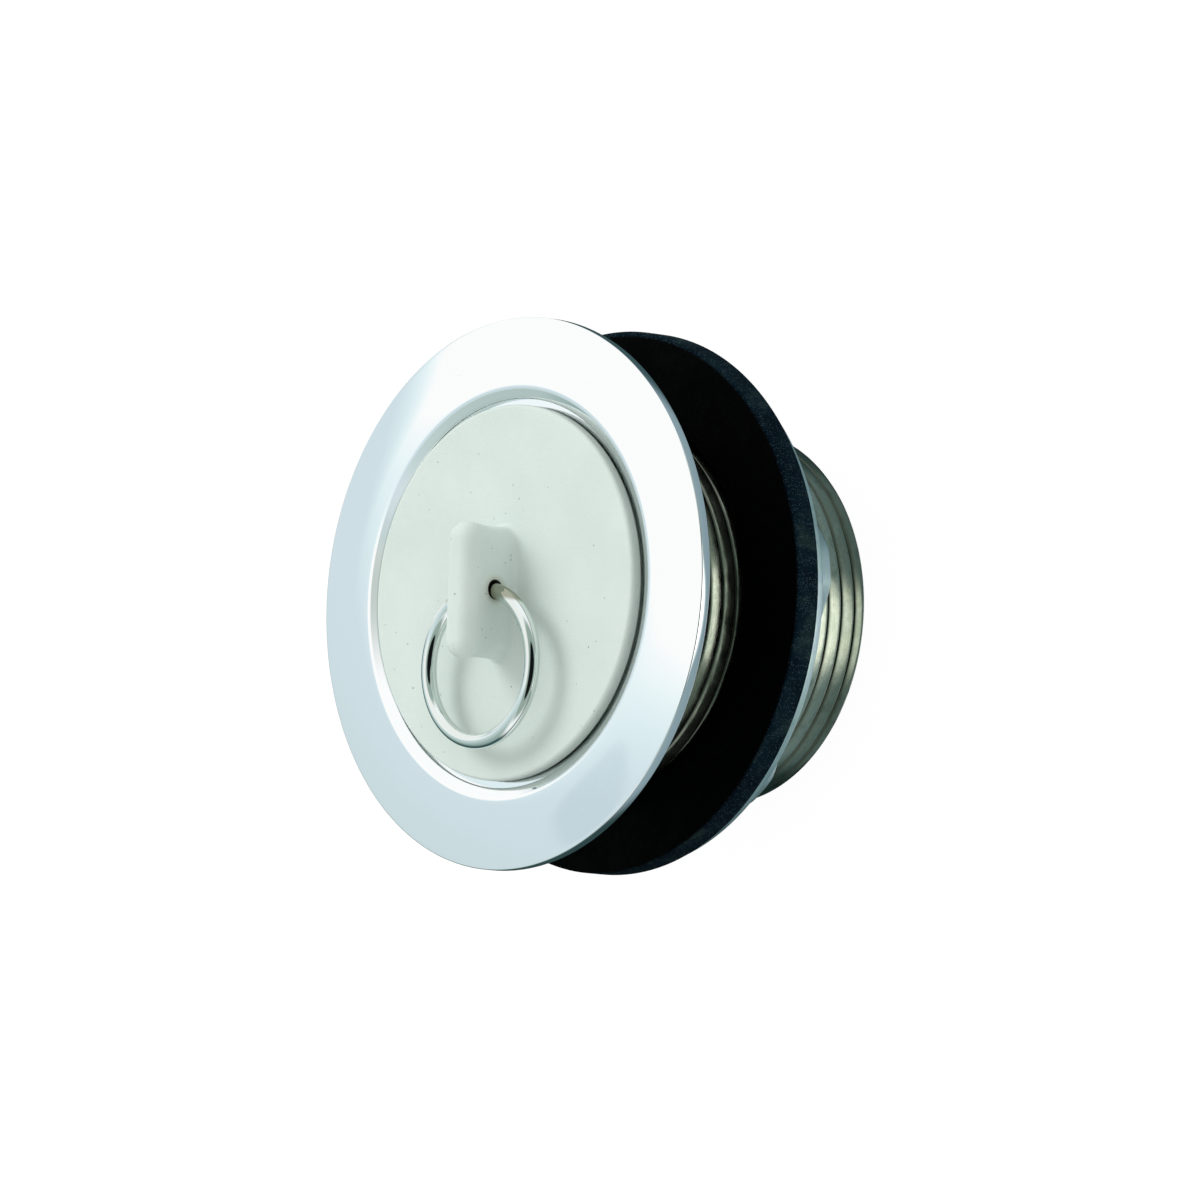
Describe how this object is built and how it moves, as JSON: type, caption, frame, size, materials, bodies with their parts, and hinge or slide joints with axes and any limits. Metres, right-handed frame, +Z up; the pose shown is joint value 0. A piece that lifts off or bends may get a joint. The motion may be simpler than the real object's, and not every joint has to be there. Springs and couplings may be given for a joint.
{
  "type": "sink strainer",
  "caption": "Flanged, threaded kitchen-sink waste with a strainer plate, a rubber plug on a pull ring, a sealing washer and a backnut.",
  "frame": {"origin": "centre of the tube's tail end, on the drain axis, on which the part stands", "axes": "+Z up the drain axis, from the tail end to the flange and plug; +X along the cross hole of the pull lug; the pull ring hangs towards -Y"},
  "size_m": [0.07, 0.07, 0.0486],
  "materials": {
    "body_chrome": "polished flange, plain plated thread",
    "grid_steel": "pressed stainless sheet",
    "plug_rubber": "off-white moulded rubber",
    "ring_chrome": "chromed round wire",
    "washer_rubber": "matt black rubber",
    "nut_zinc": "blue-passivated zinc plate"
  },
  "bodies": {
    "waste": {"waste_body": "body_chrome", "strainer_grid": "grid_steel"},
    "plug": {"stopper_plug": "plug_rubber"},
    "ring": {"pull_ring": "ring_chrome"},
    "washer": {"rubber_washer": "washer_rubber"},
    "nut": {"backnut": "nut_zinc"}
  },
  "joints": [
    {"name": "plug_lift", "type": "slide", "parent": "waste", "child": "plug", "axis": [0, 0, 1], "range_m": [0, 0.035]},
    {"name": "ring_swing", "type": "hinge", "parent": "plug", "child": "ring", "pos_m": [0, 0, 0.0437], "axis": [-1, 0, 0], "range_deg": [-6, 186]},
    {"name": "washer_slide", "type": "slide", "parent": "waste", "child": "washer", "axis": [0, 0, 1], "range_m": [-0.0104, 0.0128]},
    {"name": "nut_turn", "type": "hinge", "parent": "washer", "child": "nut", "pos_m": [0, 0, 0.0181], "axis": [0, 0, 1], "range_deg": [-1620, 1980]}
  ],
  "couplings": [
    {"joint": "washer_slide", "follows": "nut_turn", "m_per_rad": 0.00036749}
  ]
}
